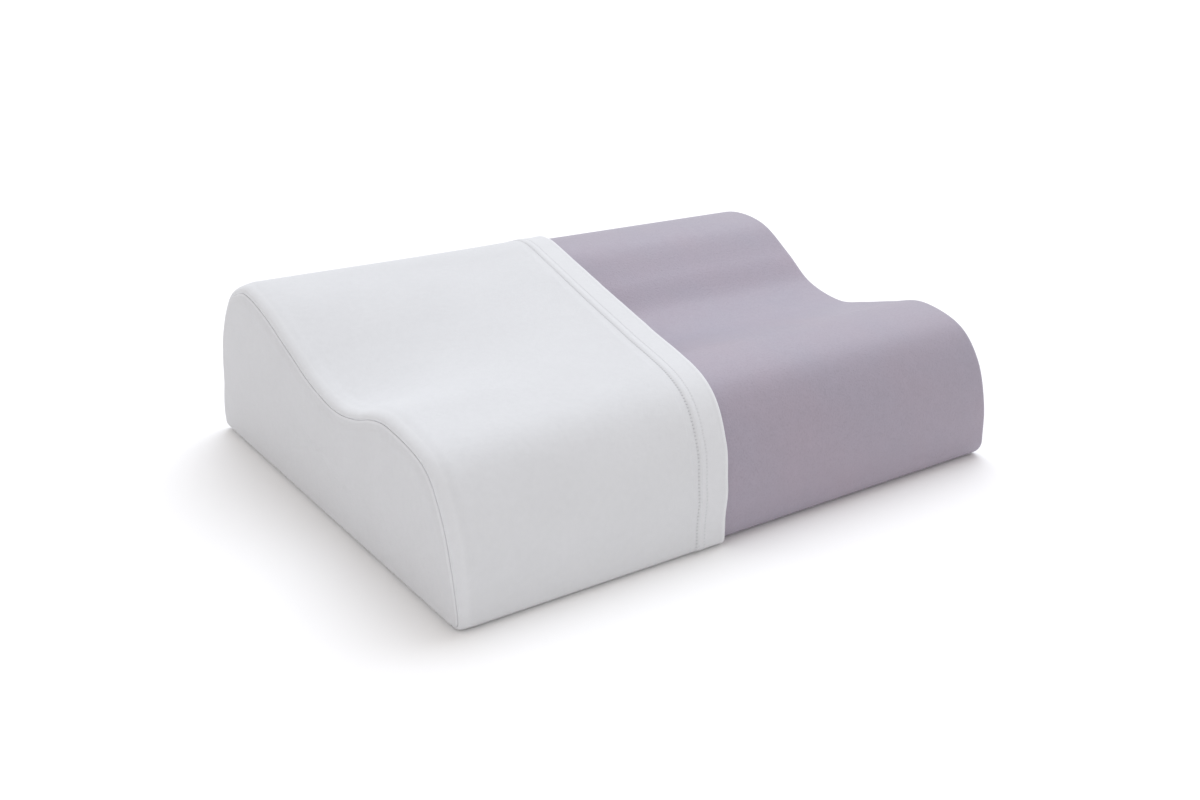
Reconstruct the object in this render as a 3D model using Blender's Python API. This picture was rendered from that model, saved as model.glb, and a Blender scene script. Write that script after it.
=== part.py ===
"""Contour bed pillow: a bare foam core half covered by a pull-off fabric sleeve.

Frame: +X along the pillow's length (the cover's closed end is at -X), +Y to the high back
lobe, +Z up, origin at the middle of the underside. Lengths are in metres.
"""

import math

import bmesh
import bpy
import numpy as np

# ---- driving dimensions --------------------------------------------------------------------
LENGTH = 0.480            # foam core, end to end
FOAM_CORNER = 0.013       # the core's lower long edges round under by this much
COVER_CORNER = 0.007      # the cover hangs squarer there than the foam
COVERED_END_RADIUS = 0.0136
END_ROUND_FROM = 0.045    # the closed end's rounding is full above this height
END_ROUND_AT_FLOOR = 0.3  # and this share of it is left at the floor
BARE_END_RADIUS = 0.005
GAP = 0.0004              # clearance between pieces that lie against each other
RELIEF_RAMP = 0.001       # length of the step in the core's underside at the hem

WRAP_OUT = 0.0026         # outer face of the wrap panel above the foam
HEM_OUT = 0.0038          # outer face of the hem, at its thickest
RIDGE_OUT = 0.0036        # the cord-like rise between the two needle rows
BAND_OUT = 0.0034         # the plain band between the outer row and the rim
HEM_DEPTH = 0.0277        # from the free edge back to the wrap panel
HEM_AT_CENTRE = 0.0065    # where the free edge crosses the pillow's middle line
HEM_SKEW = 0.17           # the free edge runs this much along X for each metre of Y

NEEDLE_GAUGE = 0.0064     # between the twin needles
OUTER_ROW = 0.0197        # outer needle row, back from the free edge
THREAD = 0.0008
GROOVE = 0.0014           # width of a needle row's groove
GROOVE_FLOOR = 0.0022     # its floor, above the foam
NEEDLE_LIFT = 0.0006      # thickness of the thread lying in it
LOOPER_BED = 0.0014       # the looper thread lies under this, inside the hem
LOOPER_HALF = 0.0036
LOOPER_LIFT = 0.0005
RIM = 0.0018              # how far back the free edge's roll reaches
CLEAR = 0.0003            # between a thread and the cloth it lies on

WRAP_EDGE_ANGLE = math.radians(51)    # the wrap panel turns this far over the closed end
PANEL_EDGE_ANGLE = math.radians(61)   # the end panel starts here, past the seam's groove
SEAM_ANGLE = math.radians(56)
SEAM_THREAD_BED = 0.0011              # depth at which the seam's thread lies
PANEL_THICKNESS = 0.0016

CLOSING_SEAM_HEIGHT = 0.034           # the wrap panel's own join, low on the back face
BACK_FACE_FROM = 0.19                 # every point further back than this is on that face

# Foam outlines across the pillow, from the back heel over both lobes to the front heel,
# as (y, z). The cover squeezes the closed end, so its lobes are a little slacker.
COVERED_END = (
    (0.2035, FOAM_CORNER), (0.2057, 0.034), (0.195, 0.086), (0.169, 0.1228), (0.142, 0.1369),
    (0.120, 0.1396), (0.084, 0.1318), (0.040, 0.1157), (0.004, 0.1026), (-0.035, 0.0954),
    (-0.068, 0.0992), (-0.098, 0.1082), (-0.125, 0.1104), (-0.170, 0.101), (-0.191, 0.077),
    (-0.202, 0.044), (-0.2042, FOAM_CORNER),
)
BARE_END = (
    (0.2037, FOAM_CORNER), (0.2062, 0.036), (0.197, 0.086), (0.169, 0.125), (0.128, 0.1420),
    (0.098, 0.1475), (0.064, 0.142), (0.030, 0.1215), (0.000, 0.101), (-0.038, 0.0925),
    (-0.068, 0.0977), (-0.100, 0.1058), (-0.132, 0.1125), (-0.170, 0.1025), (-0.192, 0.078),
    (-0.2025, 0.044), (-0.2046, FOAM_CORNER),
)
STEPS_PER_SPAN = 3
STEPS_PER_CORNER = 4


# ---- outlines ------------------------------------------------------------------------------
def spline(points, steps):
    """Catmull-Rom curve through the points, with `steps` samples to a span."""
    pts = np.array(points)
    pts = np.vstack([2 * pts[0] - pts[1], pts, 2 * pts[-1] - pts[-2]])
    out = []
    for a, b, c, d in zip(pts, pts[1:], pts[2:], pts[3:]):
        for t in np.arange(steps) / steps:
            out.append(0.5 * (2 * b + (c - a) * t + (2 * a - 5 * b + 4 * c - d) * t**2
                              + (3 * b - a - 3 * c + d) * t**3))
    out.append(pts[-2])
    return np.array(out)


def outline(bare, floor, corner):
    """Closed outline: `bare` is 0 at the covered end and 1 on the bare half."""
    knots = (1 - bare) * np.array(COVERED_END) + bare * np.array(BARE_END)
    knots[[0, -1], 1] = corner
    top = spline(knots, STEPS_PER_SPAN)
    (back_y, back_z), (front_y, front_z) = top[0], top[-1]
    turn = [i / STEPS_PER_CORNER * math.pi / 2 for i in range(1, STEPS_PER_CORNER + 1)]
    front = [(front_y + corner * (1 - math.cos(t)), front_z - (front_z - floor) * math.sin(t))
             for t in turn]
    back = [(back_y - corner * (1 - math.cos(t)), back_z - (back_z - floor) * math.sin(t))
            for t in reversed(turn)]
    return np.vstack([top, front, back])


def tightened(points, share):
    """Raises the dip towards the straight line that rests on both lobes, by `share`."""
    count = (len(COVERED_END) - 1) * STEPS_PER_SPAN + 1
    hull = []
    for p in points[:count]:
        while len(hull) > 1 and np.cross(hull[-1] - hull[-2], p - hull[-2]) <= 0:
            hull.pop()
        hull.append(p)
    back, front = max(zip(hull, hull[1:]), key=lambda ends: np.linalg.norm(ends[1] - ends[0]))
    slope = (back[1] - front[1]) / (back[0] - front[0])
    out = points.copy()
    for p in out[:count]:
        if front[0] < p[0] < back[0]:
            p[1] += share * (front[1] + slope * (p[0] - front[0]) - p[1])
    return out


def grown(points, distance):
    """The closed outline moved outwards by `distance`, one number or one for each point."""
    before, after = np.roll(points, 1, axis=0), np.roll(points, -1, axis=0)
    along = after - before
    along /= np.linalg.norm(along, axis=1)[:, None]
    outwards = np.column_stack([along[:, 1], -along[:, 0]])
    return points + outwards * np.reshape(distance, (-1, 1))


def ring(points, x, skew=0.0):
    """An outline as a loop in space: x shifts by skew times y."""
    return [(x + skew * y, y, z) for y, z in points]


# ---- solids --------------------------------------------------------------------------------
def solid(name, rings, material, collection, body, hollow=False):
    """Skins a stack of loops. A hollow one joins its last loop to its first."""
    bm = bmesh.new()
    loops = [[bm.verts.new(co) for co in loop] for loop in rings]
    count = len(loops[0])
    pairs = list(zip(loops, loops[1:] + loops[:1] if hollow else loops[1:]))
    for first, second in pairs:
        for i in range(count):
            j = (i + 1) % count
            bm.faces.new((first[i], first[j], second[j], second[i]))
    if not hollow:
        bm.faces.new(loops[0])
        bm.faces.new(loops[-1])
    bmesh.ops.recalc_face_normals(bm, faces=bm.faces)
    mesh = bpy.data.meshes.new(name)
    bm.to_mesh(mesh)
    bm.free()
    mesh.shade_smooth()
    mesh.set_sharp_from_angle(angle=math.radians(35))
    mesh.materials.append(material)
    obj = bpy.data.objects.new(name, mesh)
    collection.objects.link(obj)
    obj.parent = body
    return obj


def material(name, colour, roughness, sheen=0.0):
    """A Principled material."""
    mat = bpy.data.materials.new(name)
    mat.use_nodes = True
    bsdf = mat.node_tree.nodes["Principled BSDF"]
    bsdf.inputs["Base Color"].default_value = (*colour, 1.0)
    bsdf.inputs["Roughness"].default_value = roughness
    bsdf.inputs["Metallic"].default_value = 0.0
    bsdf.inputs["Sheen Weight"].default_value = sheen
    mat.diffuse_color = (*colour, 1.0)
    return mat


def body_empty(name, collection):
    """An empty that stands for one body; the cover's lies on its slide axis."""
    empty = bpy.data.objects.new(name, None)
    collection.objects.link(empty)
    return empty


# ---- the closed end ------------------------------------------------------------------------
END_CENTRE_X = -LENGTH / 2 + COVERED_END_RADIUS


def end_ring(angle, radius, floor, corner):
    """A loop on the rounded closed end, `angle` from the long faces towards the end face.

    The rounding fades low down, so the end face comes almost straight to the floor.
    """
    points = outline(0.0, floor, corner)
    share = np.clip(points[:, 1] / END_ROUND_FROM, END_ROUND_AT_FLOOR, 1.0)
    inset = COVERED_END_RADIUS * (math.cos(angle) - 1) * share
    offset = inset + (radius - COVERED_END_RADIUS) * math.cos(angle)
    return ring(grown(points, offset), END_CENTRE_X - radius * math.sin(angle))


# ---- pieces --------------------------------------------------------------------------------
def foam_core(collection, body, foam):
    """The moulded core: relieved underneath where the cover goes round it."""
    covered = [end_ring(math.radians(a), COVERED_END_RADIUS, HEM_OUT, FOAM_CORNER)
               for a in (90, 60, 30, 0)]
    for share in (0.3, 0.65, 1.0):
        x = END_CENTRE_X + share * (HEM_AT_CENTRE + GAP - END_CENTRE_X)
        covered.append(ring(outline(share, HEM_OUT, FOAM_CORNER), x, share * HEM_SKEW))
    section = outline(1.0, 0.0, FOAM_CORNER)
    bare = [
        ring(section, HEM_AT_CENTRE + GAP + RELIEF_RAMP, HEM_SKEW),
        ring(section, (HEM_AT_CENTRE + LENGTH / 2) / 2, HEM_SKEW / 3),
    ]
    for angle in (0, 45, 90):
        t = math.radians(angle)
        x = LENGTH / 2 - BARE_END_RADIUS * (1 - math.sin(t))
        bare.append(ring(grown(section, -BARE_END_RADIUS * (1 - math.cos(t))), x))
    return solid("foam_core", covered + bare, foam, collection, body)


def wrap_station(share, offset):
    """A loop of the wrap panel, `share` of the way from the closed end to the hem."""
    x = END_CENTRE_X + share * (HEM_AT_CENTRE - HEM_DEPTH - GAP - END_CENTRE_X)
    taut = tightened(outline(share, WRAP_OUT, COVER_CORNER), 1 - (1 - share) ** 2)
    return ring(grown(taut, offset), x, share * HEM_SKEW)


def cover_wrap_panel(collection, body, knit):
    """The panel that goes round the pillow, turned over the closed end's edge."""
    outer = COVERED_END_RADIUS + WRAP_OUT
    inner = COVERED_END_RADIUS + GAP
    turned = [WRAP_EDGE_ANGLE, WRAP_EDGE_ANGLE / 2]
    shares = (0.0, 0.15, 0.35, 0.65, 1.0)
    rings = [end_ring(a, outer, WRAP_OUT, COVER_CORNER) for a in turned]
    rings += [wrap_station(s, WRAP_OUT) for s in shares]
    rings += [wrap_station(s, GAP) for s in reversed(shares)]
    rings += [end_ring(a, inner, WRAP_OUT, COVER_CORNER) for a in reversed(turned)]
    return solid("cover_wrap_panel", rings, knit, collection, body, hollow=True)


def cover_end_panel(collection, body, knit):
    """The contour-shaped panel that closes the end, drawn in a little at its seam."""
    outer = COVERED_END_RADIUS + WRAP_OUT
    inner = outer - PANEL_THICKNESS
    half_way = (PANEL_EDGE_ANGLE + math.pi / 2) / 2
    course = [(math.pi / 2, inner), (half_way, inner), (PANEL_EDGE_ANGLE, inner),
              (PANEL_EDGE_ANGLE, outer), (half_way, outer), (math.pi / 2, outer)]
    rings = [end_ring(angle, radius, WRAP_OUT, COVER_CORNER) for angle, radius in course]
    return solid("cover_end_panel", rings, knit, collection, body)


def end_seam_thread(collection, body, thread):
    """The stitching in the groove between the wrap panel and the end panel."""
    half = THREAD / 2 / COVERED_END_RADIUS
    low = COVERED_END_RADIUS + SEAM_THREAD_BED
    high = low + THREAD
    corners = ((-half, low), (-half, high), (half, high), (half, low))
    rings = [end_ring(SEAM_ANGLE + a, r, WRAP_OUT, COVER_CORNER) for a, r in corners]
    return solid("end_seam_thread", rings, thread, collection, body, hollow=True)


def hem_ring(back, offset):
    """A loop of the hem, `back` from its free edge."""
    taut = tightened(outline(1.0, HEM_OUT, COVER_CORNER), 1.0)
    return ring(grown(taut, offset), HEM_AT_CENTRE - back, HEM_SKEW)


def hem_solid(name, section, collection, body, mat):
    """Sweeps a section of (distance back from the free edge, height above the foam)."""
    rings = [hem_ring(back, offset) for back, offset in section]
    return solid(name, rings, mat, collection, body, hollow=True)


def cover_hem_band(collection, body, knit):
    """The turned hem: two needle grooves with a ridge between, a plain band and a round rim."""
    inner_row = OUTER_ROW + NEEDLE_GAUGE
    middle = OUTER_ROW + NEEDLE_GAUGE / 2
    side = GROOVE / 2
    reach = LOOPER_HALF + GAP
    outside = [
        (HEM_DEPTH, WRAP_OUT), (inner_row + side, WRAP_OUT),
        (inner_row + side, GROOVE_FLOOR), (inner_row - side, GROOVE_FLOOR),
        (inner_row - side, RIDGE_OUT), (OUTER_ROW + side, RIDGE_OUT),
        (OUTER_ROW + side, GROOVE_FLOOR), (OUTER_ROW - side, GROOVE_FLOOR),
        (OUTER_ROW - side, BAND_OUT), (2 * RIM, BAND_OUT),
    ]
    rim_height = (HEM_OUT + GAP) / 2
    rim = [(RIM * (1 - math.sin(t)), rim_height + (HEM_OUT - rim_height) * math.cos(t))
           for t in (0.0, math.pi / 3, math.pi / 2, 2 * math.pi / 3, math.pi)]
    inside = [(middle - reach, GAP), (middle - reach, LOOPER_BED), (middle + reach, LOOPER_BED),
              (middle + reach, GAP), (HEM_DEPTH, GAP)]
    return hem_solid("cover_hem_band", outside + rim + inside, collection, body, knit)


def hem_threads(collection, body, thread):
    """Two needle rows in their grooves, and the looper thread across them inside."""
    middle = OUTER_ROW + NEEDLE_GAUGE / 2
    strips = (
        ("hem_needle_thread_outer", OUTER_ROW, THREAD / 2, GROOVE_FLOOR + CLEAR, NEEDLE_LIFT),
        ("hem_needle_thread_inner", OUTER_ROW + NEEDLE_GAUGE, THREAD / 2, GROOVE_FLOOR + CLEAR,
         NEEDLE_LIFT),
        ("hem_looper_thread", middle, LOOPER_HALF, LOOPER_BED - CLEAR - LOOPER_LIFT, LOOPER_LIFT),
    )
    for name, back, half, low, lift in strips:
        section = [(back + half, low), (back + half, low + lift),
                   (back - half, low + lift), (back - half, low)]
        hem_solid(name, section, collection, body, thread)


def closing_seam_thread(collection, body, thread):
    """The stitching of the wrap panel's own join, along the back face."""
    reach = WRAP_OUT + CLEAR + THREAD / 2
    curve = bpy.data.curves.new("closing_seam_thread", "CURVE")
    curve.dimensions = "3D"
    curve.bevel_depth = THREAD / 2
    curve.bevel_resolution = 2
    curve.use_fill_caps = True
    stations = [(share, wrap_station(share, reach)) for share in (0.0, 0.35, 0.65, 0.97)]
    run = curve.splines.new("POLY")
    run.points.add(len(stations) - 1)
    for point, (share, loop) in zip(run.points, stations):
        back_face = sorted((co for co in loop if co[1] > BACK_FACE_FROM), key=lambda co: co[2])
        heights = [co[2] for co in back_face]
        x = np.interp(CLOSING_SEAM_HEIGHT, heights, [co[0] for co in back_face])
        y = np.interp(CLOSING_SEAM_HEIGHT, heights, [co[1] for co in back_face])
        point.co = (x, y, CLOSING_SEAM_HEIGHT, 1.0)
    curve.materials.append(thread)
    obj = bpy.data.objects.new("closing_seam_thread", curve)
    collection.objects.link(obj)
    obj.parent = body
    return obj


def main():
    """Builds the pillow."""
    for obj in list(bpy.data.objects):
        bpy.data.objects.remove(obj)
    pillow = bpy.data.collections.new("contour_pillow")
    bpy.context.scene.collection.children.link(pillow)

    foam = material("lavender_memory_foam", (0.46, 0.44, 0.53), 0.75)
    knit = material("white_cotton_knit", (0.80, 0.81, 0.83), 0.9, sheen=0.3)
    thread = material("white_polyester_thread", (0.72, 0.73, 0.75), 0.55)

    core = body_empty("core_body", pillow)
    cover = body_empty("cover_body", pillow)
    foam_core(pillow, core, foam)
    cover_wrap_panel(pillow, cover, knit)
    cover_end_panel(pillow, cover, knit)
    cover_hem_band(pillow, cover, knit)
    end_seam_thread(pillow, cover, thread)
    hem_threads(pillow, cover, thread)
    closing_seam_thread(pillow, cover, thread)


main()
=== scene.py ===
"""Contour bed pillow: a moulded foam core, half drawn into its white jersey sleeve.

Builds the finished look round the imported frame. Lengths are in metres: +X runs along the
pillow with the sleeve's closed end at -X, +Y points to the high back lobe and +Z up.
"""

import logging
import math
from dataclasses import dataclass
from enum import Enum

import bmesh
import bpy
import numpy as np
from mathutils import Euler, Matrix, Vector

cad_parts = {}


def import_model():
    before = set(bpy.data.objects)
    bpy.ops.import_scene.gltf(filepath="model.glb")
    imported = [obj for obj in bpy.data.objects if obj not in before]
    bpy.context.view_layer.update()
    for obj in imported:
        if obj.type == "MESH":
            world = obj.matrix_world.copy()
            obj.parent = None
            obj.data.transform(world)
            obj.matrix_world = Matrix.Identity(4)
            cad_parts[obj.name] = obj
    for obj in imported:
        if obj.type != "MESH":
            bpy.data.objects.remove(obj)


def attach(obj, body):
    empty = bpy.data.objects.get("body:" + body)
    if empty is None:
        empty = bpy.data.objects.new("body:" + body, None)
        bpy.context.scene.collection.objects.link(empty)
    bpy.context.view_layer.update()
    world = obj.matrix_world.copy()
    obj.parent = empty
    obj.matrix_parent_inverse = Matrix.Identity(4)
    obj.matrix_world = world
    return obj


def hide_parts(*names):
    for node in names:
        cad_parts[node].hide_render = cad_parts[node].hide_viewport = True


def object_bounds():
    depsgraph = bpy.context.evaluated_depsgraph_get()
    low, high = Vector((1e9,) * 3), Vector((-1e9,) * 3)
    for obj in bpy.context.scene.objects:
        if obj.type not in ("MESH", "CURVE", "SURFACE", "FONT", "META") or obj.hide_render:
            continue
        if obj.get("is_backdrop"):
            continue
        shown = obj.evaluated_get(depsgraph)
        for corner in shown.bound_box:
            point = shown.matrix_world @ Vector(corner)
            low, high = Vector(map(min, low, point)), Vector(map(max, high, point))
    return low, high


LOG = logging.getLogger("contour_pillow")
CLOTH_UV = "cloth"
TWIST = "twist"
OUTWARD = "outward"
# Mesh attribute of painted light and shade that scales each piece's colour.
PAINTED_SHADING = "painted_shading"


class Body(Enum):
    """The bodies that pieces ride on."""

    CORE = "core"
    COVER = "cover"


class Slot(Enum):
    """The record's material slots."""

    FOAM = "foam"
    WRAP = "knit"
    END = "knit_end"
    HEM = "knit_hem"
    THREAD = "thread"


# ---- small sums ----------------------------------------------------------------------------
def cubic(values: tuple | np.ndarray, t: float | np.ndarray) -> np.ndarray:
    """Catmull-Rom value between the second and third of four.

    Args:
        values: four values, evenly spaced.
        t: place between the second and the third, 0 to 1.

    Returns:
        The value there.
    """
    a, b, c, d = values
    return 0.5 * (2 * b + (c - a) * t + (2 * a - 5 * b + 4 * c - d) * t**2
                  + (3 * b - a - 3 * c + d) * t**3)


def eased(share: float | np.ndarray) -> float | np.ndarray:
    """A share from 0 to 1 with a soft start and a soft stop."""
    return share * share * (3 - 2 * share)


def limited(share: float) -> float:
    """A share kept from 0 to 1."""
    return min(max(share, 0.0), 1.0)


def bell(distance: float | np.ndarray, width: float) -> float | np.ndarray:
    """A soft bump of height 1, by the distance from its middle."""
    return np.exp(-((distance / width) ** 2))


def unit(vectors: np.ndarray) -> np.ndarray:
    """The vectors, each brought to length 1."""
    return vectors / np.linalg.norm(vectors, axis=-1, keepdims=True)


def even_columns(count: int) -> np.ndarray:
    """Equal shares of a loop's length."""
    return np.arange(count) / count


def loop_length(loop: np.ndarray) -> float:
    """Length round a closed loop."""
    return float(np.linalg.norm(np.roll(loop, -1, axis=0) - loop, axis=1).sum())


# ---- the shape that every piece follows ----------------------------------------------------
@dataclass(frozen=True)
class PillowForm:
    """The pillow's driving shape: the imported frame's, with the hem drawn back unevenly.

    An outline is an array of (y, z) points, and a loop is an outline placed in space. The
    knots are (y, z) from the back to the front, and drawn_back is (share of the loop, pull).
    """

    length: float = 0.480
    foam_corner: float = 0.013
    cover_corner: float = 0.007
    covered_end_radius: float = 0.0136
    bare_end_radius: float = 0.005
    end_round_from: float = 0.045
    end_round_at_floor: float = 0.3
    gap: float = 0.0004
    relief_ramp: float = 0.001
    wrap_out: float = 0.0026
    hem_out: float = 0.0038
    hem_join: float = 0.0305
    hem_at_centre: float = 0.0065
    hem_skew: float = 0.17
    drawn_back: tuple = (
        (0.00, 0.0050), (0.22, 0.0036), (0.30, 0.0031), (0.45, 0.0035), (0.53, 0.0035),
        (0.60, 0.0027), (0.65, 0.0012), (0.70, 0.0005), (0.725, 0.0013), (0.755, 0.0038),
        (0.78, 0.0060), (0.80, 0.0066), (1.00, 0.0050),
    )
    seam_angle: float = math.radians(56)
    covered_knots: tuple = (
        (0.2035, 0.013), (0.2057, 0.034), (0.195, 0.086), (0.169, 0.1228), (0.142, 0.1369),
        (0.120, 0.1396), (0.084, 0.1318), (0.040, 0.1157), (0.004, 0.1026), (-0.035, 0.0954),
        (-0.068, 0.0992), (-0.098, 0.1082), (-0.125, 0.1104), (-0.170, 0.101),
        (-0.191, 0.077), (-0.202, 0.044), (-0.2042, 0.013),
    )
    bare_knots: tuple = (
        (0.2037, 0.013), (0.2062, 0.036), (0.197, 0.086), (0.169, 0.125), (0.128, 0.1420),
        (0.098, 0.1475), (0.064, 0.142), (0.030, 0.1215), (0.000, 0.101), (-0.038, 0.0925),
        (-0.068, 0.0977), (-0.100, 0.1058), (-0.132, 0.1125), (-0.170, 0.1025),
        (-0.192, 0.078), (-0.2025, 0.044), (-0.2046, 0.013),
    )
    steps_per_span: int = 24
    steps_per_corner: int = 14
    steps_per_base_half: int = 60

    @property
    def end_centre_x(self) -> float:
        """Where the closed end's rounding starts."""
        return -self.length / 2 + self.covered_end_radius

    @property
    def round_run(self) -> float:
        """Length of the sleeve's outer face from the end seam to the end of the rounding."""
        return self.seam_angle * (self.covered_end_radius + self.wrap_out)

    @property
    def wrap_run(self) -> float:
        """Length of the sleeve from the end seam to the hem, on the middle line."""
        return self.round_run + self.hem_at_centre - self.hem_join - self.end_centre_x

    def top_line(self, bare: float, corner: float) -> np.ndarray:
        """Smooth line from the back heel over both lobes to the front heel.

        Args:
            bare: 0 at the covered end, 1 on the bare half.
            corner: height of the heels, where the lower corners start.

        Returns:
            The line's points.
        """
        knots = (1 - bare) * np.array(self.covered_knots) + bare * np.array(self.bare_knots)
        knots[[0, -1], 1] = corner
        knots = np.vstack([2 * knots[0] - knots[1], knots, 2 * knots[-1] - knots[-2]])
        t = even_columns(self.steps_per_span)[:, None]
        spans = [cubic(four, t) for four in zip(knots, knots[1:], knots[2:], knots[3:])]
        return np.vstack(spans + [knots[-2:-1]])

    def tightened(self, line: np.ndarray, share: float) -> np.ndarray:
        """Raises the dip towards the straight line that rests on both lobes.

        Args:
            line: a line from top_line.
            share: how much of the way the dip is lifted, 0 to 1.

        Returns:
            The lifted line.
        """
        hull: list[np.ndarray] = []
        for point in line:
            while len(hull) > 1:
                first, second = hull[-1] - hull[-2], point - hull[-2]
                if first[0] * second[1] - first[1] * second[0] > 0:
                    break
                hull.pop()
            hull.append(point)
        back, front = max(zip(hull, hull[1:]), key=lambda ends: np.linalg.norm(ends[1] - ends[0]))
        chord = np.interp(line[:, 0], [front[0], back[0]], [front[1], back[1]])
        between = (line[:, 0] > front[0]) & (line[:, 0] < back[0])
        out = line.copy()
        out[between, 1] += share * (chord - line[:, 1])[between]
        return out

    def closed(self, line: np.ndarray, floor: float, corner: float) -> np.ndarray:
        """Closes a top line into an outline that starts in the middle of the underside.

        Args:
            line: a line from top_line.
            floor: height of the underside.
            corner: radius of the lower corners across the pillow.

        Returns:
            The outline, counter-clockwise as seen from -X.
        """
        (back_y, back_z), (front_y, front_z) = line[0], line[-1]
        turn = np.arange(1, self.steps_per_corner + 1) / self.steps_per_corner * math.pi / 2
        across, down = corner * (1 - np.cos(turn)), np.sin(turn)
        front = np.column_stack([front_y + across, front_z - (front_z - floor) * down])
        back = np.column_stack([back_y - across, back_z - (back_z - floor) * down])[::-1]
        rising = np.linspace(0, 1, self.steps_per_base_half, endpoint=False)
        base_back, base_front = (np.column_stack([edge * rising, np.full(len(rising), floor)])
                                 for edge in (back[0, 0], front[-1, 0]))
        return np.vstack([base_back, back, line, front, base_front[:0:-1]])

    @staticmethod
    def grown(outline: np.ndarray, distance: float | np.ndarray) -> np.ndarray:
        """Moves an outline outwards.

        Args:
            outline: its points.
            distance: one distance, or one for each point.

        Returns:
            The moved outline.
        """
        along = unit(np.roll(outline, -1, axis=0) - np.roll(outline, 1, axis=0))
        outwards = np.column_stack([along[:, 1], -along[:, 0]])
        return outline + outwards * np.reshape(distance, (-1, 1))

    @staticmethod
    def evened(outline: np.ndarray, columns: np.ndarray) -> np.ndarray:
        """Samples an outline again.

        Args:
            outline: its points.
            columns: shares of its length, 0 up to 1.

        Returns:
            The points at those shares.
        """
        loop = np.vstack([outline, outline[:1]])
        reach = np.concatenate([[0.0], np.cumsum(np.linalg.norm(np.diff(loop, axis=0), axis=1))])
        at = columns * reach[-1]
        return np.column_stack([np.interp(at, reach, loop[:, k]) for k in (0, 1)])

    @staticmethod
    def loop(outline: np.ndarray, x: float, skew: float = 0.0) -> np.ndarray:
        """The outline placed at x, which shifts by skew times y."""
        return np.column_stack([x + skew * outline[:, 0], outline[:, 0], outline[:, 1]])

    def end_loop(self, angle: float, radius: float, floor: float, corner: float,
                 columns: np.ndarray) -> np.ndarray:
        """A loop on the rounded closed end.

        Args:
            angle: turn from the long faces towards the end face, in radians.
            radius: radius of the rounding at this depth of the wall.
            floor: height of the underside before the wall's thickness.
            corner: radius of the lower corners across the pillow.
            columns: shares of the loop's length to sample.

        Returns:
            The loop's points.
        """
        outline = self.closed(self.top_line(0.0, corner), floor, corner)
        share = np.clip(outline[:, 1] / self.end_round_from, self.end_round_at_floor, 1.0)
        inset = self.covered_end_radius * (math.cos(angle) - 1) * share
        offset = inset + (radius - self.covered_end_radius) * math.cos(angle)
        outline = self.evened(self.grown(outline, offset), columns)
        return self.loop(outline, self.end_centre_x - radius * math.sin(angle))

    def cover_end_loop(self, angle: float, radius: float, columns: np.ndarray) -> np.ndarray:
        """A loop of the sleeve on the rounded closed end."""
        return self.end_loop(angle, radius, self.wrap_out, self.cover_corner, columns)

    def sleeve_loop(self, run: float, rise: float, columns: np.ndarray) -> np.ndarray:
        """A loop of the sleeve's wrap panel.

        Args:
            run: distance from the end seam along the sleeve's outer face.
            rise: height above the foam.
            columns: shares of the loop's length to sample.

        Returns:
            The loop's points.
        """
        if run < self.round_run:
            angle = self.seam_angle * (1 - run / self.round_run)
            return self.cover_end_loop(angle, self.covered_end_radius + rise, columns)
        share = min((run - self.round_run) / (self.wrap_run - self.round_run), 1.0)
        line = self.tightened(self.top_line(share, self.cover_corner), 1 - (1 - share) ** 2)
        outline = self.grown(self.closed(line, self.wrap_out, self.cover_corner), rise)
        x = self.end_centre_x + run - self.round_run
        loop = self.loop(self.evened(outline, columns), x, share * self.hem_skew)
        loop[:, 0] -= share**3 * self.hem_draw(columns)
        return loop

    def hem_draw(self, columns: np.ndarray) -> np.ndarray:
        """How far the hem is pulled back from its straight run.

        Args:
            columns: shares of the loop's length.

        Returns:
            The pull at each share.
        """
        shares, draws = np.array(self.drawn_back).T
        place = np.interp(columns, shares, np.arange(len(shares)))
        whole = np.minimum(place.astype(int), len(shares) - 2)
        return draws[whole] + (draws[whole + 1] - draws[whole]) * eased(place - whole)

    def hem_loop(self, back: float, rise: float, floor: float, columns: np.ndarray) -> np.ndarray:
        """A loop of the hem.

        Args:
            back: distance from the hem's free edge.
            rise: height above the foam.
            floor: height of the underside before the wall's thickness.
            columns: shares of the loop's length to sample.

        Returns:
            The loop's points.
        """
        line = self.tightened(self.top_line(1.0, self.cover_corner), 1.0)
        outline = self.grown(self.closed(line, floor, self.cover_corner), rise)
        loop = self.loop(self.evened(outline, columns), self.hem_at_centre - back, self.hem_skew)
        loop[:, 0] -= self.hem_draw(columns)
        return loop


FORM = PillowForm()
FACE_MIDDLE = (0.0, 0.052)


def drawn_in(loop: np.ndarray, shares: np.ndarray) -> list[np.ndarray]:
    """Loops of an end face, drawn in towards its middle.

    Args:
        loop: the loop round the face.
        shares: 1 leaves it as it is, 0 brings it to the middle.

    Returns:
        A loop for each share.
    """
    middle = np.array([loop[:, 0].mean(), *FACE_MIDDLE])
    return [middle + share * (loop - middle) for share in shares]


# ---- meshes --------------------------------------------------------------------------------
class Ends(Enum):
    """How a stack of loops is closed."""

    HOLLOW = "last loop joined to the first"
    POLES = "a point at each end"


def outward_normals(grid: np.ndarray) -> np.ndarray:
    """Unit normals of a grid whose columns close on themselves.

    Args:
        grid: rows by columns by 3.

    Returns:
        Normals of the same shape, pointing away from the pillow.
    """
    round_way = np.roll(grid, -1, axis=1) - np.roll(grid, 1, axis=1)
    along = np.gradient(grid, axis=0)
    normals = np.cross(along, round_way)
    normals /= np.maximum(np.linalg.norm(normals, axis=2, keepdims=True), 1e-12)
    return normals


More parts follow.
